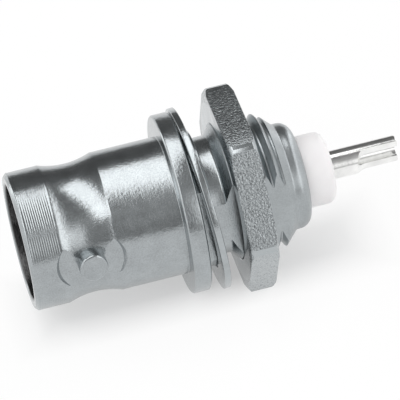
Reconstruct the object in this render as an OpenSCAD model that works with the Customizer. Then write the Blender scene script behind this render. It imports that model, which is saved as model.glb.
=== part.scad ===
// Panel-mount coaxial bayonet jack with a solder-cup contact.
// The axis runs along X: the mating nose points to -X and the solder cup to +X.
// The origin is on the axis, in the plane of the flange's rear face, where the panel seats.

/* [Nose] */
// Outer diameter of the nose and barrel
nose_d = 9.6; // [9:0.05:12]
// Wall of the outer shell at the mouth
shell_wall = 0.75; // [0.6:0.01:1]
// Length from the mouth to the rear face of the flange
front_len = 11.9; // [10.5:0.1:18]
// Length of the full-diameter ring at the mouth
nose_ring_len = 2.4; // [1.6:0.1:3]
// Length of the waist behind the ring
waist_len = 3.7; // [3.2:0.1:5]
// Depth of the waist below the nose surface
waist_depth = 0.325; // [0.1:0.005:0.4]
// Chamfer on the mouth edges
mouth_chamfer = 0.12; // [0.05:0.01:0.25]

/* [Bayonet studs] */
// Diameter of each stud
stud_d = 1.95; // [1.4:0.01:2.4]
// Height of each stud above the nose surface
stud_height = 0.7; // [0.5:0.01:1]
// Distance from the mouth to the stud axis
stud_setback = 4.15; // [3.6:0.05:5]
// Turn of the stud axis above the horizontal
stud_angle = 7.5; // [-45:0.5:45]
// Diameter of the milled pocket round each stud, at the nose surface
pocket_d = 4.84; // [3.6:0.02:5.6]
// Depth of the flat pocket floor below the nose surface
pocket_depth = 0.27; // [0.1:0.01:0.35]
// Width of the sloping pocket wall
pocket_slope = 0.2; // [0.05:0.01:0.3]
// Chamfer on the end of each stud
stud_chamfer = 0.14; // [0.05:0.01:0.3]

/* [Flange and thread] */
// Width of the flange's seat round the pilot
flange_seat_w = 1.52; // [1:0.02:4]
// Thickness of the flange
flange_t = 1.2; // [0.8:0.05:2]
// Chamfer on the flange edges
flange_chamfer = 0.1; // [0.02:0.01:0.2]
// Major diameter of the mounting thread
thread_d = 9.46; // [9.2:0.02:11]
// Length of the full-diameter pilot behind the flange
pilot_len = 1; // [0.6:0.1:1.6]
// Width of the undercut between pilot and thread
undercut_len = 1; // [0.6:0.1:1.6]
// Depth of the undercut below the thread crest
undercut_depth = 0.63; // [0.4:0.01:0.75]
// Distance from the flange to the last full crest of the thread
thread_reach = 5.75; // [5:0.05:12]
// Depth of the key flat below the thread crest
key_flat_depth = 0.88; // [0.65:0.01:1]

/* [Rear rim] */
// Wall between the undercut and the bore for the insulator
bore_wall = 0.8; // [0.6:0.01:1.1]
// Wall of the rim that is rolled in
rim_wall = 0.4; // [0.25:0.01:0.6]
// Straight length of the rim before it rolls in
rim_straight = 0.32; // [0.1:0.02:1]
// Radius of the rolled edge
rim_radius = 0.85; // [0.5:0.05:1]
// Thickness of the rolled lip
lip_t = 0.6; // [0.3:0.05:0.8]

/* [Insulator] */
// Outer diameter of the front tube of the insulator
front_tube_d = 4.72; // [4:0.02:5.4]
// Setback of the front tube from the mouth
front_tube_setback = 3.4; // [2.4:0.1:4.6]
// Distance from the mouth to the seat of the mating shell
seat_depth = 8.4; // [7:0.1:9.6]
// Thickness of the seat web
web_t = 1; // [0.6:0.1:1.6]
// Width of the step between the insulator's core and its neck in the web
core_step = 0.34; // [0.15:0.01:0.6]
// Diameter of the rear boss
boss_d = 5.02; // [4.4:0.02:5.4]
// Length of the rear boss outside the rim
boss_len = 2.05; // [1:0.05:5]
// Edge radius of the rear boss
boss_radius = 0.6; // [0.2:0.05:1]
// Clearance between pieces that are assembled into one another
seat_gap = 0.03; // [0.01:0.005:0.06]

/* [Centre contact] */
// Outer diameter of the female socket
socket_d = 2.2; // [1.9:0.02:2.6]
// Bore of the female socket
socket_bore_d = 1.4; // [1.2:0.01:1.6]
// Depth of the socket bore
socket_depth = 5; // [4:0.1:6]
// Recess of the socket behind the front of the insulator
socket_recess = 0.1; // [0:0.05:0.4]
// Width of the two crossed spring slots
slot_w = 0.2; // [0.1:0.01:0.3]
// Length of the spring slots
slot_len = 3.6; // [2.5:0.1:4.5]
// Diameter of the locking collar inside the insulator
collar_d = 3; // [2.6:0.1:3.4]
// Length of the locking collar
collar_len = 1.6; // [0.8:0.1:2.4]
// Distance from the front of the insulator's core to the collar
collar_setback = 2.5; // [1:0.1:4]
// Outer diameter of the solder cup
cup_d = 2; // [1.5:0.02:2.4]
// Bore of the solder cup
cup_bore_d = 0.98; // [0.7:0.02:1.4]
// Length of the contact outside the rear boss
cup_len = 4.9; // [3.5:0.1:8]
// Depth of the cup bore
cup_depth = 3.2; // [2.6:0.1:3.4]
// Length of the open half of the cup
cup_open_len = 2.2; // [1.5:0.1:2.4]
// Height of the cut face above the cup axis
cup_cut_h = 0.17; // [0:0.01:0.3]
// Turn of the cup opening above the horizontal
cup_angle = -8.5; // [-90:0.5:90]
// Chamfer on the end of the cup
cup_chamfer = 0.1; // [0.02:0.01:0.2]

/* [Nut and washer] */
// Wall of the nut at the middle of each flat
nut_wall = 1.56; // [1:0.02:3]
// Thickness of the nut
nut_t = 1.95; // [1.2:0.05:3]
// Depth turned off each corner of the nut
nut_corner_cut = 0.14; // [0.02:0.01:0.3]
// Width of the chamfer on both faces of the nut, seen at a corner
nut_crown_w = 0.35; // [0.1:0.01:0.6]
// Distance from the flange to the nut
nut_gap = 2.65; // [2.2:0.05:3.6]
// Running clearance of the nut on the thread, on the radius
nut_clearance = 0.06; // [0.03:0.01:0.1]
// Width of the countersink at each end of the nut bore
nut_sink = 0.3; // [0.1:0.05:0.5]
// Width of the washer's ring
washer_w = 1.55; // [1:0.05:4]
// Thickness of the washer
washer_t = 0.45; // [0.3:0.05:0.8]
// Clearance of the washer hole over the thread, on the radius
washer_clearance = 0.17; // [0.12:0.01:0.3]
// Lean of the loose washer
washer_lean = 4.3; // [0:0.1:5]
// Direction in which the washer leans against the flange, turned up from the horizontal
washer_lean_angle = 110; // [0:5:355]

/* [Hidden] */
$fn = 96;
// overshoot of cutting tools past the faces that they cut
over = 0.5;
// overlap of shapes that are joined into one solid
lap = 0.1;

nose_r = nose_d / 2;
shell_bore_r = nose_r - shell_wall;
mouth_x = -front_len;
flange_front_x = -flange_t;
ring_end_x = mouth_x + nose_ring_len;
waist_r = nose_r - waist_depth;
// radius of the arc that dips by waist_depth over waist_len
waist_arc_r = (pow(waist_len / 2, 2) + pow(waist_depth, 2)) / (2 * waist_depth);
waist_mid_x = ring_end_x + waist_len / 2;

stud_x = mouth_x + stud_setback;
pocket_floor_h = nose_r - pocket_depth;
stud_end_h = nose_r + stud_height;
// foot of each stud, hidden inside the wall of the shell
stud_foot_h = shell_bore_r + lap;

thread_r = thread_d / 2;
flange_r = thread_r + flange_seat_w;
key_flat_h = thread_r - key_flat_depth;
undercut_r = thread_r - undercut_depth;
bore_r = undercut_r - bore_wall;
undercut_x = pilot_len;
run_up_x = undercut_x + undercut_len;
thread_x = run_up_x + undercut_depth;
rim_r = bore_r + rim_wall;
rim_x = thread_reach + thread_r - rim_r;
rear_x = rim_x + rim_straight + rim_radius;
lip_x = rear_x - lip_t;

seat_x = mouth_x + seat_depth;
core_x = seat_x + web_t;
tube_x = mouth_x + front_tube_setback;
boss_end_x = rear_x + boss_len;
core_r = bore_r - seat_gap;
neck_r = core_r - core_step;

socket_x = tube_x + socket_recess;
collar_x = core_x + collar_setback;
cup_end_x = boss_end_x + cup_len;
cup_cut_r = cup_d / 2 - cup_cut_h;
cup_open_x = cup_end_x - cup_open_len;

nut_bore_r = thread_r + nut_clearance;
nut_af = 2 * (nut_bore_r + nut_wall);
nut_corner_r = nut_af / 2 / cos(30);
nut_turned_r = nut_corner_r - nut_corner_cut;
nut_crown_drop = nut_crown_w * tan(30);
washer_hole_r = thread_r + washer_clearance;
washer_r = washer_hole_r + washer_w;
// gap left between the leaning washer and the flange
washer_touch = 0.04;
washer_x = washer_touch + washer_t / 2 / cos(washer_lean)
    + (flange_r - flange_chamfer) * tan(washer_lean);

// Turns a profile drawn as [radius, distance along the axis] about the X axis
module turned() {
    rotate([0, 90, 0]) rotate_extrude() children();
}

// Places children drawn along +Z so that they point outward at an angle above the viewer's side
module outward(x, angle) {
    translate([x, 0, 0]) rotate([90 - angle, 0, 0]) children();
}

// A straight round bar or bore along the axis
module bar(r, x1, x2) {
    translate([x1, 0, 0]) rotate([0, 90, 0]) cylinder(r = r, h = x2 - x1);
}

// Outline of the end of a turned bar with a rounded edge
module rounded_end(r, end_x, edge_r) {
    translate([0, end_x - edge_r - lap]) square([r - edge_r, edge_r + lap]);
    intersection() {
        translate([r - edge_r, end_x - edge_r]) circle(r = edge_r);
        translate([0, end_x - edge_r]) square([r, edge_r]);
    }
}

// Outline of the outside of the body, without the rolled edge of the rim
module outside_profile() {
    difference() {
        polygon([
            [0, mouth_x],
            [nose_r - mouth_chamfer, mouth_x],
            [nose_r, mouth_x + mouth_chamfer],
            [nose_r, flange_front_x],
            [flange_r - flange_chamfer, flange_front_x],
            [flange_r, flange_front_x + flange_chamfer],
            [flange_r, -flange_chamfer],
            [flange_r - flange_chamfer, 0],
            [thread_r, 0],
            [thread_r, undercut_x],
            [undercut_r, undercut_x],
            [undercut_r, run_up_x],
            [thread_r, thread_x],
            [thread_r, thread_reach],
            [rim_r, rim_x],
            [rim_r, rear_x - rim_radius],
            [0, rear_x - rim_radius]
        ]);
        translate([waist_r + waist_arc_r, waist_mid_x]) circle(r = waist_arc_r, $fn = 180);
    }
}

// Outline of everything that is bored out of the body
module inside_profile() {
    polygon([
        [0, mouth_x - over],
        [shell_bore_r + mouth_chamfer + over, mouth_x - over],
        [shell_bore_r, mouth_x + mouth_chamfer],
        [shell_bore_r, seat_x],
        [neck_r + seat_gap, seat_x],
        [neck_r + seat_gap, core_x],
        [bore_r, core_x],
        [bore_r, lip_x],
        [boss_d / 2 + seat_gap, lip_x],
        [boss_d / 2 + seat_gap, rear_x + over],
        [0, rear_x + over]
    ]);
}

// Ring-shaped pocket that leaves the stud standing on a flat floor
module stud_pocket() {
    top_r = pocket_d / 2 + over * pocket_slope / pocket_depth;
    difference() {
        translate([0, 0, pocket_floor_h])
            cylinder(r1 = pocket_d / 2 - pocket_slope, r2 = top_r, h = pocket_depth + over);
        cylinder(d = stud_d, h = stud_end_h + over);
    }
}

module stud() {
    translate([0, 0, stud_foot_h])
        cylinder(d = stud_d, h = stud_end_h - stud_chamfer - stud_foot_h);
    translate([0, 0, stud_end_h - stud_chamfer])
        cylinder(d1 = stud_d, d2 = stud_d - 2 * stud_chamfer, h = stud_chamfer);
}

// Flat milled along the pilot and thread, which keys the body in its panel hole
module key_flat() {
    outward(0, stud_angle)
        translate([0, -thread_d, key_flat_h]) cube([rear_x, 2 * thread_d, thread_d]);
}

module jack_body() {
    color("silver") {
        difference() {
            turned() {
                outside_profile();
                rounded_end(rim_r, rear_x, rim_radius);
            }
            turned() inside_profile();
            for (side = [0, 180]) outward(stud_x, stud_angle + side) stud_pocket();
            key_flat();
        }
        for (side = [0, 180]) outward(stud_x, stud_angle + side) stud();
    }
}

module insulator() {
    color("white")
        difference() {
            union() {
                bar(front_tube_d / 2, tube_x, seat_x + web_t / 2);
                bar(neck_r, seat_x, core_x + web_t / 2);
                bar(core_r, core_x + seat_gap, lip_x - seat_gap);
                bar(boss_d / 2, lip_x - web_t, boss_end_x - boss_radius);
                turned() rounded_end(boss_d / 2, boss_end_x, boss_radius);
            }
            bar(socket_d / 2 + seat_gap, tube_x - over, collar_x);
            bar(collar_d / 2 + seat_gap, collar_x - seat_gap, collar_x + collar_len + seat_gap);
            bar(cup_d / 2 + seat_gap, collar_x, boss_end_x + over);
        }
}

// Opens one side of the cup, with the round run-out that the cutter leaves
module cup_opening() {
    outward(cup_open_x, cup_angle) {
        translate([0, -cup_d, cup_cut_h]) cube([cup_open_len + over, 2 * cup_d, cup_d]);
        translate([0, -cup_d, cup_d / 2]) rotate([-90, 0, 0]) cylinder(r = cup_cut_r, h = 2 * cup_d);
    }
}

module centre_contact() {
    color("gainsboro")
        difference() {
            union() {
                bar(socket_d / 2, socket_x, collar_x + collar_len / 2);
                bar(collar_d / 2, collar_x, collar_x + collar_len);
                bar(cup_d / 2, collar_x + collar_len / 2, cup_end_x - cup_chamfer);
                translate([cup_end_x - cup_chamfer, 0, 0]) rotate([0, 90, 0])
                    cylinder(d1 = cup_d, d2 = cup_d - 2 * cup_chamfer, h = cup_chamfer);
            }
            bar(socket_bore_d / 2, socket_x - over, socket_x + socket_depth);
            for (angle = [45, 135]) translate([socket_x - over, 0, 0]) rotate([angle, 0, 0])
                translate([0, -socket_d, -slot_w / 2]) cube([slot_len + over, 2 * socket_d, slot_w]);
            bar(cup_bore_d / 2, cup_end_x - cup_depth, cup_end_x + over);
            cup_opening();
        }
}

// Loose ring, leaning on the flange with its top edge
module panel_washer() {
    color("silver")
        translate([washer_x, 0, 0])
            rotate([-washer_lean_angle, 0, 0]) rotate([0, 0, -washer_lean]) rotate([0, 90, 0])
                difference() {
                    cylinder(r = washer_r, h = washer_t, center = true);
                    cylinder(r = washer_hole_r, h = washer_t + over, center = true);
                }
}

// Outline of the bar that the nut's hexagon is cut from, with a chamfer of 30 degrees at both faces
module nut_blank_profile() {
    polygon([
        [0, 0],
        [nut_turned_r - nut_crown_w, 0],
        [nut_turned_r, nut_crown_drop],
        [nut_turned_r, nut_t - nut_crown_drop],
        [nut_turned_r - nut_crown_w, nut_t],
        [0, nut_t]
    ]);
}

module hex_nut() {
    color("silver")
        translate([nut_gap, 0, 0]) rotate([0, 90, 0])
            difference() {
                intersection() {
                    rotate([0, 0, 30]) cylinder(r = nut_corner_r, h = nut_t, $fn = 6);
                    rotate_extrude() nut_blank_profile();
                }
                translate([0, 0, -over]) cylinder(r = nut_bore_r, h = nut_t + 2 * over);
                for (end = [0, 1]) translate([0, 0, end * nut_t]) mirror([0, 0, end])
                    cylinder(r1 = nut_bore_r + nut_sink, r2 = nut_bore_r, h = nut_sink);
            }
}

jack_body();
insulator();
centre_contact();
panel_washer();
hex_nut();
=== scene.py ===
import math

import bmesh
import bpy
from mathutils import Matrix, Vector


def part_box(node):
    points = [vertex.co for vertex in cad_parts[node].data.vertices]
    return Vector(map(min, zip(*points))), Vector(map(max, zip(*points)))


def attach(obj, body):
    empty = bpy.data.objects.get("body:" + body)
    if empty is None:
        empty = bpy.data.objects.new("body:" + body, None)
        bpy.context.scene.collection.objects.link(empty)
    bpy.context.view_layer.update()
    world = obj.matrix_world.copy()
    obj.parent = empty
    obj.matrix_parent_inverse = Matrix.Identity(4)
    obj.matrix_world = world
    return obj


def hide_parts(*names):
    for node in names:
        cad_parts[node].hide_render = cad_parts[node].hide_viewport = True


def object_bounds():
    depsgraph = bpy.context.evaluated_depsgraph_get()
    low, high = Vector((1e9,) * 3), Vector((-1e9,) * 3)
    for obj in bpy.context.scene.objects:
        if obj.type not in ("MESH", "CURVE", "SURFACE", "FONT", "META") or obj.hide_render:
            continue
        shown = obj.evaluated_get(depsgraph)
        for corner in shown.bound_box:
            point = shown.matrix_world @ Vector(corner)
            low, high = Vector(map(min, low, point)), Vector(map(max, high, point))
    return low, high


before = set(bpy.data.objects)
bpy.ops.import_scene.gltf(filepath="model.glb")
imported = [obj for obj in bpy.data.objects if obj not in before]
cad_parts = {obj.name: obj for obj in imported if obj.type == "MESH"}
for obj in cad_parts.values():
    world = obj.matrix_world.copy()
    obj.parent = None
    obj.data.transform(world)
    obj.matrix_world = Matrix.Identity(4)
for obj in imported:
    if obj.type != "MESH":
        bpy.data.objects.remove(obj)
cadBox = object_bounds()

# Pieces are drawn in millimetres round the X axis and scaled to metres when they are finished.
mm = 0.001
alongX = Vector((1, 0, 0))
sharpAngle = 19  # flats meet the turned faces beside them at 20 degrees and more, and stay crisp
weld = 0.0002  # points closer than this become one
overcut = 1  # how far a cutting tool reaches past the metal
fine, small, plain, soft = 0.02, 0.03, 0.04, 0.05  # how far the turned edges are broken
fineSteps = 2  # faces round the finest edges

view = {
    "lens": 324.0,
    "noseRight": -12.297,  # where the centre of the mouth sits, right of the middle of the view
    "noseDown": 2.887,
    "noseAway": 244.25,
    "roll": 13.933,
    "tilt": 7.053,  # how far the mouth turns towards the viewer
    "height": 39.5,  # how far the viewer looks down
    "clip": (0.01, 10),  # in metres
}

thread = {
    "pitch": 0.79375,  # 32 turns to the inch
    "crestAtTop": 5.637,  # where a crest crosses the top of the body
    "stepsPerTurn": 96,
    "runIn": 24,  # steps in which the tool sinks to full depth
    "lift": 0.62,  # how far outside the metal the tool starts
}


def addCamera():
    camera = bpy.data.objects.new("camera", bpy.data.cameras.new("camera"))
    bpy.context.scene.collection.objects.link(camera)
    bpy.context.scene.camera = camera
    camera.data.lens = view["lens"]
    camera.data.clip_start, camera.data.clip_end = view["clip"]
    roll = math.radians(view["roll"])
    tilt = math.radians(view["tilt"])
    height = math.radians(view["height"])
    # the object's axes as the viewer sees them: right, up and towards the eye
    axis = Vector((math.cos(roll) * math.cos(tilt), math.sin(roll) * math.cos(tilt), -math.sin(tilt)))
    across = Vector((-math.sin(roll), math.cos(roll), 0))
    facing = axis.cross(across)
    up = across * math.cos(height) + facing * math.sin(height)
    away = across * math.sin(height) - facing * math.cos(height)
    turn = Matrix((axis, away, up))
    mouth = Vector((view["noseRight"], -view["noseDown"], -view["noseAway"])) * mm
    camera.matrix_world = Matrix.Translation(turn @ -mouth + alongX * cadBox[0].x) @ turn.to_4x4()


addCamera()
print("camera placed")


def outline(corners, usualSteps=5):
    # a flat face whose corners are (along the axis, radius, rounding, faces round the corner)
    bm = bmesh.new()
    verts = [bm.verts.new((corner[0], 0, corner[1])) for corner in corners]
    bm.faces.new(verts)
    for vert, corner in zip(verts, corners):
        if len(corner) > 2:
            steps = corner[3] if len(corner) > 3 else usualSteps
            bmesh.ops.bevel(bm, geom=[vert], offset=corner[2], segments=steps, profile=0.5,
                            affect="VERTICES", material=-1)
    return bm


def turned(bm, steps=192):
    bmesh.ops.delete(bm, geom=bm.faces[:], context="FACES_ONLY")
    bmesh.ops.spin(bm, geom=bm.verts[:] + bm.edges[:], cent=(0, 0, 0), axis=alongX, angle=math.tau,
                   steps=steps, use_merge=True)
    return sealed(bm)


def sealed(bm):
    bmesh.ops.remove_doubles(bm, verts=bm.verts[:], dist=weld)
    bmesh.ops.recalc_face_normals(bm, faces=bm.faces[:])
    return bm


def solid(bm, name):
    mesh = bpy.data.meshes.new(name)
    bm.to_mesh(mesh)
    bm.free()
    made = bpy.data.objects.new(name, mesh)
    bpy.context.scene.collection.objects.link(made)
    return made


def carve(target, bm, operation="DIFFERENCE"):
    tool = solid(bm, "cutter")
    step = target.modifiers.new("carve", "BOOLEAN")
    step.operation = operation
    step.solver = "MANIFOLD"
    step.object = tool
    shaped = bpy.data.meshes.new_from_object(target.evaluated_get(bpy.context.evaluated_depsgraph_get()))
    target.modifiers.clear()
    target.data = shaped
    bpy.data.objects.remove(tool)


def moved(bm, way):
    bmesh.ops.translate(bm, verts=bm.verts[:], vec=way)
    return bm


def rotated(bm, degrees, axis):
    matrix = Matrix.Rotation(math.radians(degrees), 3, axis)
    bmesh.ops.rotate(bm, verts=bm.verts[:], cent=(0, 0, 0), matrix=matrix)
    return bm


def outward(bm, x, angle):
    # what was drawn along +Z now points away from the axis, that angle above the viewer's side
    return moved(rotated(bm, 90 - angle, "X"), (x, 0, 0))


def pillar(points, steps=96):
    # a round solid about Z from (radius, height) points
    bm = bmesh.new()
    verts = [bm.verts.new((radius, 0, height)) for radius, height in points]
    for first, second in zip(verts, verts[1:]):
        bm.edges.new((first, second))
    bmesh.ops.spin(bm, geom=bm.verts[:] + bm.edges[:], cent=(0, 0, 0), axis=(0, 0, 1), angle=math.tau,
                   steps=steps, use_merge=True)
    return sealed(bm)


def block(low, high):
    bm = bmesh.new()
    bmesh.ops.create_cube(bm, size=1)
    low, high = Vector(low), Vector(high)
    bmesh.ops.scale(bm, verts=bm.verts[:], vec=high - low)
    return moved(bm, (low + high) / 2)


def finishPiece(piece, body, slot, *nodes):
    piece.data.transform(Matrix.Scale(mm, 4))
    piece.data.shade_smooth()
    piece.data.set_sharp_from_angle(angle=math.radians(sharpAngle))
    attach(piece, body)
    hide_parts(*nodes)
    print(piece.name, len(piece.data.polygons), "faces")


jack = {
    "noseRadius": 4.8,
    "shellBore": 4.05,
    "mouthEdge": 0.12,
    "outerEdge": 0.22,
    "ringLength": 2.4,
    "grooves": 13,
    "grooveDepth": 0.016,
    "grooveMargin": 0.1,
    "waistLength": 3.7,
    "waistDepth": 0.325,
    "flangeRadius": 6.25,
    "flangeThick": 1.2,
    "flangeEdge": 0.1,
    "threadRadius": 4.73,
    "pilotLength": 1.0,
    "neckRadius": 4.1,
    "neckLength": 1.0,
    "neckFillet": 0.12,
    "threadEnd": 5.75,
    "threadTurns": 5,
    "turnsBefore": 3.5,  # from the start of the cut to the crest at the top
    "groove": [(-0.05, 4.22), (-0.26, 4.58), (-0.33, 4.66), (-0.375, 4.74), (-0.375, 5.2)],
    "rimRadius": 3.7,
    "rimShoulder": 0.1,
    "shoulderSteps": 4,
    "rimRound": 0.85,
    "rimSteps": 14,
    "lipRadius": 2.54,
    "lipThick": 0.6,
    "coreBore": 3.3,
    "webBore": 2.96,
    "seatDepth": 8.4,
    "webThick": 1.0,
    "keyHeight": 3.85,
    "studAngle": 7.5,
    "studBack": 4.15,
    "studRadius": 0.975,
    "studFoot": 4.25,
    "studHeight": 5.5,
    "studRound": 0.14,
    "studRoundSteps": 5,
    "pocketRadius": 2.42,
    "pocketFloor": 4.53,
    "pocketSlope": 0.2,
}


def grooveCorners(start, end, radius):
    # shallow turned grooves: each is a crest and a trough
    pitch = (end - start) / jack["grooves"]
    corners = []
    for turn in range(jack["grooves"]):
        at = start + turn * pitch
        corners.append((at, radius, fine, fineSteps))
        corners.append((at + pitch / 2, radius - jack["grooveDepth"], fine, fineSteps))
    return corners + [(end, radius)]


def waistCorners(start, radius, steps=24):
    # an arc hollowed out of the body, from its length and its depth
    length, depth = jack["waistLength"], jack["waistDepth"]
    bend = (length * length / 4 + depth * depth) / (2 * depth)
    reach = math.asin(length / 2 / bend)
    corners = []
    for step in range(steps + 1):
        turn = reach * (2 * step / steps - 1)
        along = start + length / 2 + bend * math.sin(turn)
        corners.append((along, radius - depth + bend * (1 - math.cos(turn))))
    corners[0] += (small, fineSteps)
    corners[-1] += (fine, fineSteps)
    return corners


def jackOutline():
    low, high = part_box("jack_body")
    mouth, rear = low[0] / mm, high[0] / mm
    nose, bore, edge = jack["noseRadius"], jack["shellBore"], jack["mouthEdge"]
    outer, margin = jack["outerEdge"], jack["grooveMargin"]
    flange, front, lip = jack["flangeRadius"], -jack["flangeThick"], jack["flangeEdge"]
    crest, neck, fillet = jack["threadRadius"], jack["neckRadius"], jack["neckFillet"]
    neckStart = jack["pilotLength"]
    neckEnd = neckStart + jack["neckLength"]
    seat = mouth + jack["seatDepth"]
    web = seat + jack["webThick"]
    inner = rear - jack["lipThick"]
    rim, shoulder = jack["rimRadius"], jack["threadEnd"] + crest - jack["rimRadius"]
    corners = [(mouth, bore + edge, small), (mouth, nose - outer, soft), (mouth + outer, nose, soft)]
    corners += grooveCorners(mouth + outer + margin, mouth + jack["ringLength"] - margin, nose)
    corners += waistCorners(mouth + jack["ringLength"], nose)
    corners += [
        (front, nose, soft),
        (front, flange - lip, plain), (front + lip, flange, plain),
        (-lip, flange, plain), (0, flange - lip, plain),
        (0, crest, plain), (neckStart, crest, soft), (neckStart, neck, fillet), (neckEnd, neck, fillet),
        (neckEnd + crest - neck, crest, fine), (jack["threadEnd"], crest, small),
        (shoulder, rim, jack["rimShoulder"], jack["shoulderSteps"]),
        (rear, rim, jack["rimRound"], jack["rimSteps"]),
        (rear, jack["lipRadius"], plain), (inner, jack["lipRadius"]),
        (inner, jack["coreBore"]), (web, jack["coreBore"]),
        (web, jack["webBore"]), (seat, jack["webBore"]),
        (seat, bore), (mouth + edge, bore, small),
    ]
    return outline(corners)


def threadGroove(start, turns, points, runIn=0):
    # a V swept along the helix, which can sink into the metal over its first steps
    pitch, steps = thread["pitch"], thread["stepsPerTurn"]
    bm = bmesh.new()
    verts = [bm.verts.new((start + x, 0, radius)) for x, radius in points]
    face = bm.faces.new(verts)
    bmesh.ops.spin(bm, geom=[face] + face.edges[:] + verts, cent=(0, 0, 0), axis=alongX,
                   dvec=alongX * pitch / steps, angle=math.tau * turns, steps=int(steps * turns))
    bm.verts.ensure_lookup_table()
    for step in range(runIn):
        ring = bm.verts[step * len(points):(step + 1) * len(points)]
        lift = Vector((0, 0, thread["lift"] * (1 - step / runIn)))
        bmesh.ops.translate(bm, verts=ring, vec=Matrix.Rotation(math.tau * step / steps, 3, "X") @ lift)
    return sealed(bm)


def mirrored(half):
    # both sides of a groove from its left side
    return half + [(-x, radius) for x, radius in reversed(half)]


def addStud(body, x, angle):
    # a round pocket with a sloping wall, and the stud that stands in it
    floor, radius, slope = jack["pocketFloor"], jack["pocketRadius"], jack["pocketSlope"]
    depth = jack["noseRadius"] - floor
    high = floor + depth + overcut
    wide = radius + slope / depth * overcut
    pocket = pillar([(0, floor), (radius - slope, floor), (wide, high), (0, high)])
    carve(body, outward(pocket, x, angle))
    stud, foot, top = jack["studRadius"], jack["studFoot"], jack["studHeight"]
    bend, steps = jack["studRound"], jack["studRoundSteps"]
    corners = [(0, foot), (stud, foot)]
    for step in range(steps + 1):
        turn = math.radians(90 * step / steps)
        corners.append((stud - bend + bend * math.cos(turn), top - bend + bend * math.sin(turn)))
    carve(body, outward(pillar(corners + [(0, top)]), x, angle), "UNION")


def cutKey(body):
    wide = 2 * jack["threadRadius"]
    key = block((0, -wide, jack["keyHeight"]), (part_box("jack_body")[1][0] / mm, wide, wide))
    carve(body, outward(key, 0, jack["studAngle"]))


def makeJackBody():
    body = solid(turned(jackOutline()), "jackShell")
    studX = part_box("jack_body")[0][0] / mm + jack["studBack"]
    for side in (0, 180):
        addStud(body, studX, jack["studAngle"] + side)
    cutKey(body)
    start = thread["crestAtTop"] - jack["turnsBefore"] * thread["pitch"]
    carve(body, threadGroove(start, jack["threadTurns"], mirrored(jack["groove"]), thread["runIn"]))
    return body


jackPiece = makeJackBody()
finishPiece(jackPiece, "jack", "body_nickel", "jack_body")

dielectric = {
    "tubeRadius": 2.36,
    "tubeRound": 0.12,
    "hole": 1.13,
    "holeRound": 0.06,
    "neckRadius": 2.93,
    "coreRadius": 3.27,
    "bossRadius": 2.51,
    "bossRound": 0.6,
    "bossSteps": 12,
    "cupHole": 1.03,
    "collarRadius": 1.53,
    "collarStart": 2.47,
    "collarEnd": 4.13,
    "gap": 0.03,  # between the plastic and the metal at each end of the core
    "steps": 128,
}


def makeInsulator():
    low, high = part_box("insulator")
    front, rear = low[0] / mm, high[0] / mm
    jackLow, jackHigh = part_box("jack_body")
    seat = jackLow[0] / mm + jack["seatDepth"]
    web = seat + jack["webThick"]
    core = web + dielectric["gap"]
    inner = jackHigh[0] / mm - jack["lipThick"] - dielectric["gap"]
    hole, tube, boss = dielectric["hole"], dielectric["tubeRadius"], dielectric["bossRadius"]
    collarStart, collarEnd = web + dielectric["collarStart"], web + dielectric["collarEnd"]
    corners = [
        (front, hole, dielectric["holeRound"]), (front, tube, dielectric["tubeRound"]),
        (seat, tube), (seat, dielectric["neckRadius"]),
        (core, dielectric["neckRadius"]), (core, dielectric["coreRadius"]),
        (inner, dielectric["coreRadius"]), (inner, boss),
        (rear, boss, dielectric["bossRound"], dielectric["bossSteps"]),
        (rear, dielectric["cupHole"], plain), (collarEnd, dielectric["cupHole"]),
        (collarEnd, dielectric["collarRadius"]), (collarStart, dielectric["collarRadius"]),
        (collarStart, hole),
    ]
    return solid(turned(outline(corners), dielectric["steps"]), "insulatorSleeve")


insulatorPiece = makeInsulator()
finishPiece(insulatorPiece, "jack", "dielectric", "insulator")

contact = {
    "socketRadius": 1.1,
    "socketBore": 0.7,
    "socketDepth": 5.0,
    "mouthRound": 0.08,
    "slotWidth": 0.2,
    "slotLength": 3.6,
    "slotAngles": (45, 135),
    "collarRadius": 1.5,
    "collarStart": 2.5,
    "collarEnd": 4.1,
    "cupRadius": 1.0,
    "cupBore": 0.49,
    "cupDepth": 3.2,
    "openLength": 2.2,
    "cutHeight": 0.17,
    "openAngle": -8.5,
    "endRound": 0.1,
    "steps": 96,
}


def openCup(pin, rear):
    # the solder cup is cut open from its end, and the cut runs out round, as the cutter leaves it
    reach, height, length = contact["cupRadius"], contact["cutHeight"], contact["openLength"]
    opening = block((0, -2 * reach, height), (length + overcut, 2 * reach, 3 * reach))
    carve(pin, outward(opening, rear - length, contact["openAngle"]))
    cutter = reach - height
    runOut = pillar([(0, -2 * reach), (cutter, -2 * reach), (cutter, 2 * reach), (0, 2 * reach)])
    runOut = moved(rotated(runOut, 90, "X"), (0, 0, reach))
    carve(pin, outward(runOut, rear - length, contact["openAngle"]))


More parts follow.
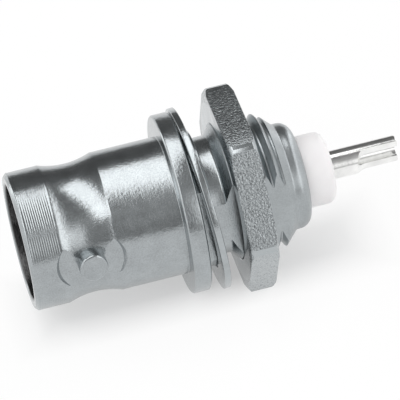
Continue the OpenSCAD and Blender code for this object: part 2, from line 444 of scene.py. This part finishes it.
def makeContact():
    low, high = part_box("centre_contact")
    front, rear = low[0] / mm, high[0] / mm
    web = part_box("jack_body")[0][0] / mm + jack["seatDepth"] + jack["webThick"]
    collarStart, collarEnd = web + contact["collarStart"], web + contact["collarEnd"]
    socket, cup = contact["socketRadius"], contact["cupRadius"]
    socketEnd, cupEnd = front + contact["socketDepth"], rear - contact["cupDepth"]
    corners = [
        (front, contact["socketBore"], contact["mouthRound"]), (front, socket, contact["mouthRound"]),
        (collarStart, socket), (collarStart, contact["collarRadius"], plain),
        (collarEnd, contact["collarRadius"], plain), (collarEnd, cup),
        (rear, cup, contact["endRound"]), (rear, contact["cupBore"], soft),
        (cupEnd, contact["cupBore"]), (cupEnd, 0), (socketEnd, 0), (socketEnd, contact["socketBore"]),
    ]
    bm = outline(corners)
    onAxis = [edge for edge in bm.edges if all(abs(vert.co.z) < weld for vert in edge.verts)]
    bmesh.ops.delete(bm, geom=bm.faces[:], context="FACES_ONLY")
    bmesh.ops.delete(bm, geom=onAxis, context="EDGES")
    pin = solid(turned(bm, contact["steps"]), "contactPin")
    half, wide = contact["slotWidth"] / 2, 2 * socket
    for angle in contact["slotAngles"]:
        slot = block((front - overcut, -wide, -half), (front + contact["slotLength"], wide, half))
        carve(pin, rotated(slot, angle, "X"))
    openCup(pin, rear)
    return pin


contactPiece = makeContact()
finishPiece(contactPiece, "jack", "contact_silver", "centre_contact")

washer = {
    "hole": 4.9,
    "radius": 6.45,
    "thick": 0.45,
    "lean": 4.3,  # the washer is loose on the thread and tips by this
    "leanAngle": 110,  # which way it tips
    "round": 0.07,
    "steps": 160,
}


def makeWasher():
    half, hole, radius = washer["thick"] / 2, washer["hole"], washer["radius"]
    sides = [(-half, hole), (half, hole), (half, radius), (-half, radius)]
    ring = turned(outline([side + (washer["round"],) for side in sides]), washer["steps"])
    lean = Matrix.Rotation(math.radians(-washer["leanAngle"]), 3, "X")
    lean = lean @ Matrix.Rotation(math.radians(-washer["lean"]), 3, "Z")
    bmesh.ops.rotate(ring, verts=ring.verts[:], cent=(0, 0, 0), matrix=lean)
    low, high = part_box("panel_washer")
    return solid(moved(ring, ((low[0] + high[0]) / 2 / mm, 0, 0)), "washerRing")


washerPiece = makeWasher()
finishPiece(washerPiece, "washer", "washer_nickel", "panel_washer")

nut = {
    "sides": 6,
    "turnedRadius": 7.192,
    "crownWidth": 0.35,
    "crownAngle": 30,
    "crownRound": 0.1,
    "bore": 4.36,
    "sink": 0.5,
    "threadTurns": 5,
    "turnsBefore": 5,  # from the start of the cut to the crest at the top
    "groove": [(-0.07, 4.8), (-0.31, 4.4), (-0.36, 4.3), (-0.36, 4.0)],
    "steps": 144,
}


def makeNut():
    low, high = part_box("hex_nut")
    front, rear = low[0] / mm, high[0] / mm
    corner = high[2] / mm / math.cos(math.pi / nut["sides"])
    bm = bmesh.new()
    bmesh.ops.create_cone(bm, segments=nut["sides"], radius1=corner, radius2=corner, depth=rear - front,
                          cap_ends=True)
    bm = moved(rotated(bm, 90, "Y"), ((front + rear) / 2, 0, 0))
    hexagon = solid(sealed(bm), "nutHexagon")
    radius, bore, sink = nut["turnedRadius"], nut["bore"], nut["sink"]
    crown, rounding = radius - nut["crownWidth"], nut["crownRound"]
    drop = nut["crownWidth"] * math.tan(math.radians(nut["crownAngle"]))
    corners = [
        (front, bore + sink), (front, crown, soft),
        (front + drop, radius, rounding), (rear - drop, radius, rounding),
        (rear, crown, soft), (rear, bore + sink, soft),
        (rear - sink, bore), (front + sink, bore),
    ]
    carve(hexagon, turned(outline(corners), nut["steps"]), "INTERSECT")
    start = thread["crestAtTop"] - nut["turnsBefore"] * thread["pitch"]
    carve(hexagon, threadGroove(start, nut["threadTurns"], mirrored(nut["groove"])))
    return hexagon


nutPiece = makeNut()
finishPiece(nutPiece, "nut", "nut_nickel", "hex_nut")


class Wire:
    # one output of a node, on which sums are written as sums
    def __init__(self, paint, socket):
        self.paint = paint
        self.socket = socket

    def __add__(self, other):
        return self.paint.sum("ADD", self, other)

    def __radd__(self, other):
        return self.paint.sum("ADD", other, self)

    def __sub__(self, other):
        return self.paint.sum("SUBTRACT", self, other)

    def __rsub__(self, other):
        return self.paint.sum("SUBTRACT", other, self)

    def __mul__(self, other):
        return self.paint.sum("MULTIPLY", self, other)

    def __rmul__(self, other):
        return self.paint.sum("MULTIPLY", other, self)

    def __truediv__(self, other):
        return self.paint.sum("DIVIDE", self, other)

    def __rtruediv__(self, other):
        return self.paint.sum("DIVIDE", other, self)


class Paint:
    def __init__(self, owner, ending="Material"):
        owner.use_nodes = True
        self.owner = owner
        self.tree = owner.node_tree
        self.tree.nodes.clear()
        self.out = self.tree.nodes.new("ShaderNodeOutput" + ending)

    def node(self, kind, settings, values, output=0):
        made = self.tree.nodes.new("ShaderNode" + kind)
        for key, value in settings.items():
            if key == "stops":
                elements = made.color_ramp.elements
                for index, (place, shade) in enumerate(value):
                    stop = elements[index] if index < 2 else elements.new(place)
                    stop.position = place
                    stop.color = (shade, shade, shade, 1)
            else:
                setattr(made, key, value)
        for key, value in values.items():
            if isinstance(value, Wire):
                self.tree.links.new(value.socket, made.inputs[key])
            else:
                made.inputs[key].default_value = value
        return Wire(self, made.outputs[output])

    def sum(self, operation, first, second):
        return self.node("Math", {"operation": operation}, {0: first, 1: second})

    def place(self):
        # position on the piece in millimetres
        objectPlace = self.node("TexCoord", {}, {}, "Object")
        return self.node("VectorMath", {"operation": "SCALE"}, {0: objectPlace, "Scale": 1 / mm})

    def parts(self, place):
        return [self.node("SeparateXYZ", {}, {0: place}, axis) for axis in "XYZ"]

    def radius(self, y, z):
        # distance from the axis
        return self.node("Math", {"operation": "SQRT"}, {0: y * y + z * z})

    def unsigned(self, value):
        return self.node("Math", {"operation": "ABSOLUTE"}, {0: value})

    def stretch(self, place, scale):
        return self.node("VectorMath", {"operation": "MULTIPLY"}, {0: place, 1: scale})

    def noise(self, place, scale, detail=2.0, roughness=0.5):
        return self.node("TexNoise", {}, {"Vector": place, "Scale": scale, "Detail": detail,
                                          "Roughness": roughness})

    def patches(self, place):
        # slow patches over a surface, from 0 to 1
        return self.ramp(self.noise(place, *patches["noise"]), *patches["span"])

    def ramp(self, value, low, high, first=0.0, last=1.0):
        return self.node("MapRange", {"clamp": True}, {"Value": value, "From Min": low, "From Max": high,
                                                       "To Min": first, "To Max": last})

    def blend(self, factor, first, second):
        return self.node("Mix", {"data_type": "RGBA"}, {0: factor, 6: first, 7: second}, 2)

    def bump(self, height, distance, under=None):
        # the distance is in millimetres
        values = {"Height": height, "Distance": distance * mm, "Strength": 1.0}
        if under is not None:
            values["Normal"] = under
        return self.node("Bump", {}, values)

    def finish(self, values):
        return self.surface(self.node("BsdfPrincipled", {}, values))

    def surface(self, shader):
        self.tree.links.new(shader.socket, self.out.inputs["Surface"])
        return self.owner


# In the finishes below, a noise is (scale in 1/mm, detail, roughness), and of two ends of a ramp
# the first is where it is 0 and the second where it is 1. Bumps are heights in millimetres.
white = (1, 1, 1, 1)
patches = {
    "noise": (0.9, 3.0),
    "span": (0.3, 0.7),
}


def shaded(tone, share):
    return [part * share for part in tone] + [1]


plainFinish = {
    "washerGrain": 0.010,
    "contactTone": (0.90, 0.90, 0.89),
    "contactGrain": 0.004,
    "darker": 0.88,
    "paler": 1.05,
    "roughness": 0.13,
    "patchRoughness": 0.05,
    "pitRoughness": 0.06,
    "grainNoise": (6.0, 3.0, 0.6),
    "pits": (0.32, 0.45),
}


def plainMetal(name, tone, grain):
    paint = Paint(bpy.data.materials.new(name))
    place = paint.place()
    cloudy = paint.patches(place)
    speckle = paint.noise(place, *plainFinish["grainNoise"])
    pits = paint.ramp(speckle, *plainFinish["pits"])
    colour = paint.blend(cloudy, shaded(tone, plainFinish["darker"]), shaded(tone, plainFinish["paler"]))
    roughness = plainFinish["roughness"] + plainFinish["patchRoughness"] * cloudy
    roughness = roughness + plainFinish["pitRoughness"] * (1 - pits)
    normal = paint.bump(speckle, grain)
    return paint.finish({"Base Color": colour, "Metallic": 1.0, "Roughness": roughness, "Normal": normal})


bodyFinish = {
    "tone": (0.418, 0.446, 0.458),
    "darker": 0.78,
    "paler": 1.04,
    "pepperNoise": (12.0,),
    "pepper": (0.35, 0.6),
    # the wall inside the mouth's bore is painted near black: a painted shade deep in the hollow
    "boreShadeTone": (0.10, 0.10, 0.10, 1),
    "boreShadeEnd": (-2.9, -3.1),
    "boreShadeEdge": (0.09, 0.02),  # outside the bore's own radius, where the painted shade fades out
    "roughness": 0.18,
    "patchRoughness": 0.05,
    "rearRoughness": 0.10,  # added on the thread and the rear rim
    "rearStart": (2.0, 2.6),
    "waistBlend": 0.1,
    "turnedMarks": 0.0035,
    "turnedStretch": (15.0, 1.3, 1.3),
    "milledMarks": 0.006,
    "milledStretch": (0.7, 9.0, 9.0),
    "markNoise": (1.0, 3.0, 0.6),
    "grain": 0.006,
    "grainNoise": (6.0, 3.0, 0.6),
    "dents": 0.007,
    "dentNoise": (3.0,),
    "dentEnd": (6.0, 6.5),  # from the back of the waist, so that the thread has none
}


def bodyNickel():
    # turning marks run round the body, milling marks run along its waist; the bore inside the mouth gets a
    # painted shade
    paint = Paint(bpy.data.materials.new("bodyNickel"))
    place = paint.place()
    x, y, z = paint.parts(place)
    radius = paint.radius(y, z)
    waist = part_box("jack_body")[0][0] / mm + jack["ringLength"]
    barrel = waist + jack["waistLength"]
    blend = bodyFinish["waistBlend"]
    onWaist = paint.ramp(x, waist, waist + blend) * paint.ramp(x, barrel, barrel - blend)
    # painted shade: the mask covers the bore's inner wall from the mouth back to the seat
    outside, inside = (jack["shellBore"] + edge for edge in bodyFinish["boreShadeEdge"])
    boreShadeMask = paint.ramp(x, *bodyFinish["boreShadeEnd"]) * paint.ramp(radius, outside, inside)
    cloudy = paint.patches(place)
    pepper = paint.ramp(paint.noise(place, *bodyFinish["pepperNoise"]), *bodyFinish["pepper"])
    dark = shaded(bodyFinish["tone"], bodyFinish["darker"])
    bright = shaded(bodyFinish["tone"], bodyFinish["paler"])
    colour = paint.blend(0.5 * cloudy + 0.5 * pepper, dark, bright)
    # the bore's wall takes the painted shade tone
    colour = paint.blend(boreShadeMask, colour, bodyFinish["boreShadeTone"])
    roughness = bodyFinish["roughness"] + bodyFinish["patchRoughness"] * cloudy
    roughness = roughness + bodyFinish["rearRoughness"] * paint.ramp(x, *bodyFinish["rearStart"])
    undented = paint.ramp(x, *(barrel + end for end in bodyFinish["dentEnd"]))
    dents = paint.noise(place, *bodyFinish["dentNoise"]) * (1 - undented)
    speckle = paint.noise(place, *bodyFinish["grainNoise"])
    turnedMarks = paint.noise(paint.stretch(place, bodyFinish["turnedStretch"]), *bodyFinish["markNoise"])
    milledMarks = paint.noise(paint.stretch(place, bodyFinish["milledStretch"]), *bodyFinish["markNoise"])
    normal = paint.bump(dents, bodyFinish["dents"])
    normal = paint.bump(speckle, bodyFinish["grain"], normal)
    normal = paint.bump(turnedMarks * (1 - onWaist), bodyFinish["turnedMarks"], normal)
    normal = paint.bump(milledMarks * onWaist, bodyFinish["milledMarks"], normal)
    return paint.finish({"Base Color": colour, "Metallic": 1.0, "Roughness": roughness, "Normal": normal})


nutFinish = {
    "tone": (0.418, 0.446, 0.458),
    "darker": 0.6,  # in the pits between the dimples
    "paler": 1.05,
    "pitNoise": (9.0, 3.0, 0.65),
    "pits": (0.36, 0.5),
    "roughness": 0.17,
    "patchRoughness": 0.06,
    "crown": 0.0006,  # how fast a flat falls away towards its corners
    "dimples": 0.034,
    "dimpleNoise": (7.0, 2.0, 0.55),
    "grit": 0.002,
    "gritNoise": (14.0,),
    "gritSpan": (0.45, 0.3),
    "gritRoughness": 0.06,
    "flatStart": (6.2, 6.3),  # distance from the axis
    "flatHalf": 3.36,  # from the middle of a flat to its corner band
    "bandBlend": 0.06,
}


def nutNickel():
    # tumbled flats: dimpled and a little crowned
    paint = Paint(bpy.data.materials.new("nutNickel"))
    place = paint.place()
    y, z = paint.parts(place)[1:]
    half = math.pi / nut["sides"]
    angle = paint.node("Math", {"operation": "ARCTAN2"}, {0: y, 1: z})
    offFlat = paint.node("Math", {"operation": "WRAP"}, {0: angle, 1: half, 2: -half})
    radius = paint.radius(y, z)
    onFlat = paint.ramp(radius, *nutFinish["flatStart"])
    beside = radius * paint.node("Math", {"operation": "SINE"}, {0: offFlat})
    band = nutFinish["flatHalf"]
    grainy = onFlat * paint.ramp(paint.unsigned(beside), band, band - nutFinish["bandBlend"])
    square = beside * beside
    dimples = paint.noise(place, *nutFinish["dimpleNoise"])
    grit = paint.noise(place, *nutFinish["gritNoise"])
    dark = shaded(nutFinish["tone"], nutFinish["darker"])
    bright = shaded(nutFinish["tone"], nutFinish["paler"])
    pitted = paint.ramp(paint.noise(place, *nutFinish["pitNoise"]), *nutFinish["pits"])
    colour = paint.blend(1 - grainy * (1 - pitted), dark, bright)
    roughness = nutFinish["roughness"] + nutFinish["patchRoughness"] * paint.patches(place)
    roughness = roughness + nutFinish["gritRoughness"] * paint.ramp(grit, *nutFinish["gritSpan"])
    normal = paint.bump(square * square * -nutFinish["crown"] * onFlat, 1.0)
    # the noise lies round a half, so the flats keep their level where the dimples end
    normal = paint.bump((dimples - 0.5) * grainy, nutFinish["dimples"], normal)
    normal = paint.bump(grit, nutFinish["grit"], normal)
    return paint.finish({"Base Color": colour, "Metallic": 1.0, "Roughness": roughness, "Normal": normal})


plasticFinish = {
    "darkTone": (0.83, 0.81, 0.82, 1),
    "paleTone": (0.88, 0.87, 0.87, 1),
    "patchNoise": (0.8,),
    "roughness": 0.42,
    "patchRoughness": 0.1,
    "grain": 0.006,
    "grainNoise": (14.0,),
    "depth": {"Subsurface Weight": 0.15, "Subsurface Radius": (1.0, 0.9, 0.9), "Subsurface Scale": 0.0008},
}


def whitePlastic():
    paint = Paint(bpy.data.materials.new("whiteDielectric"))
    place = paint.place()
    cloudy = paint.noise(place, *plasticFinish["patchNoise"])
    colour = paint.blend(cloudy, plasticFinish["darkTone"], plasticFinish["paleTone"])
    roughness = plasticFinish["roughness"] + plasticFinish["patchRoughness"] * cloudy
    normal = paint.bump(paint.noise(place, *plasticFinish["grainNoise"]), plasticFinish["grain"])
    return paint.finish({"Base Color": colour, "Roughness": roughness, "Normal": normal,
                         **plasticFinish["depth"]})


def dress(piece, material):
    piece.data.materials.clear()
    piece.data.materials.append(material)


dress(jackPiece, bodyNickel())
dress(washerPiece, plainMetal("washerNickel", bodyFinish["tone"], plainFinish["washerGrain"]))
dress(nutPiece, nutNickel())
dress(insulatorPiece, whitePlastic())
dress(contactPiece, plainMetal("contactSilver", plainFinish["contactTone"], plainFinish["contactGrain"]))
print("materials ready")

light = {
    "keyHeight": 0.30,
    "keyPlace": (-0.235, -0.137),  # of its height, along the axis and away from the viewer
    "keySize": (0.49, 1.87),  # of its height
    "keyTurn": 62.7,
    "keyBright": 2.1,
    "fill": 0.95,  # a soft panel low in front, right of the viewer
    "fillEdge": (0.09, 0.20),
    "fillFoot": (0.03, 0.2),
    "fillTop": (0.9, 0.55),
    # height in half turns and brightness, then distance sideways and brightness
    "room": [(0.0, 0.38), (0.055, 0.30), (0.16, 0.42), (0.33, 0.40), (0.46, 0.20), (0.7, 0.18), (0.8, 0.13)],
    "sides": [(0.0, 0.0), (0.54, 0.0), (0.58, 1.0), (0.69, 1.0), (0.76, 0.5)],
    "sideEdge": (0.54, 0.58),
    "sideBright": 2.2,
    "clutterNoise": (9.0, 3.0, 0.6),
    "clutterLow": 0.3,
    "clutterSpan": 1.4,
}


def addLights():
    height = light["keyHeight"]
    wide, long = light["keySize"][0] * height, light["keySize"][1] * height
    key = bpy.data.lights.new("softbox", "AREA")
    key.shape = "RECTANGLE"
    key.size, key.size_y = long, wide
    key.energy = light["keyBright"] * math.pi * wide * long
    lamp = bpy.data.objects.new("softbox", key)
    lamp.location = (light["keyPlace"][0] * height, light["keyPlace"][1] * height, height)
    lamp.rotation_euler = (0, 0, math.radians(light["keyTurn"]))
    bpy.context.scene.collection.objects.link(lamp)


def addWorld():
    # grey by the height above the near horizon, and brighter towards both ends of the axis
    world = bpy.data.worlds.new("room")
    bpy.context.scene.world = world
    paint = Paint(world, "World")
    direction = paint.node("TexCoord", {}, {}, "Generated")
    across, away, up = paint.parts(direction)
    height = paint.node("Math", {"operation": "ARCTAN2"}, {0: up, 1: -1.0 * away})
    room = paint.node("ValToRGB", {"stops": light["room"]}, {"Fac": height / math.pi})
    sideways = paint.unsigned(across)
    sides = paint.node("ValToRGB", {"stops": light["sides"]}, {"Fac": sideways})
    isSide = paint.ramp(sideways, *light["sideEdge"])
    clutter = paint.noise(direction, *light["clutterNoise"])
    fill = paint.ramp(across, *light["fillEdge"]) * paint.ramp(height, *light["fillFoot"])
    fill = fill * paint.ramp(height, *light["fillTop"])
    room = room * (light["clutterLow"] + light["clutterSpan"] * clutter) + fill * light["fill"]
    strength = room * (1 - isSide) + sides * light["sideBright"]
    paint.surface(paint.node("Background", {}, {"Color": white, "Strength": strength}))


ground = {
    "halfWide": 6,  # in metres
    "tone": (0.93, 0.93, 0.93, 1),
    "bodyReach": 9.0,  # along the axis, ahead of the origin and behind it
    "glowStart": 1.5,  # from the axis, or past the body's reach
    "glowFull": 5.0,
    "nearGlow": 0.42,  # the share of the floor's own glow under the body and away from it; the lower share under the body is a painted shade beneath it
    "farGlow": 0.9,
}


def addFloor():
    bm = bmesh.new()
    bmesh.ops.create_grid(bm, x_segments=1, y_segments=1, size=ground["halfWide"])
    floor = solid(moved(bm, (0, 0, cadBox[0].z)), "floor")
    paint = Paint(bpy.data.materials.new("paleFloor"))
    camera, glossy, through = (paint.node("LightPath", {}, {}, "Is %s Ray" % kind)
                               for kind in ("Camera", "Glossy", "Transmission"))
    seen = paint.ramp(camera + glossy + through, 0, 1)
    x, y = paint.parts(paint.place())[:2]
    # the floor glows less near the body: a painted shade under it, on top of its real shadow
    past = paint.unsigned(x) - ground["bodyReach"]
    away = paint.node("Math", {"operation": "MAXIMUM"}, {0: paint.unsigned(y), 1: past})
    share = paint.ramp(away, ground["glowStart"], ground["glowFull"], ground["nearGlow"], ground["farGlow"])
    matte = paint.node("BsdfDiffuse", {}, {"Color": ground["tone"]})
    glow = paint.node("Emission", {}, {"Color": white, "Strength": 1.0})
    dress(floor, paint.surface(paint.node("MixShader", {}, {0: seen * share, 1: matte, 2: glow})))


addLights()
addWorld()
addFloor()
bpy.context.scene.view_settings.view_transform = "Standard"

print("scene ready")
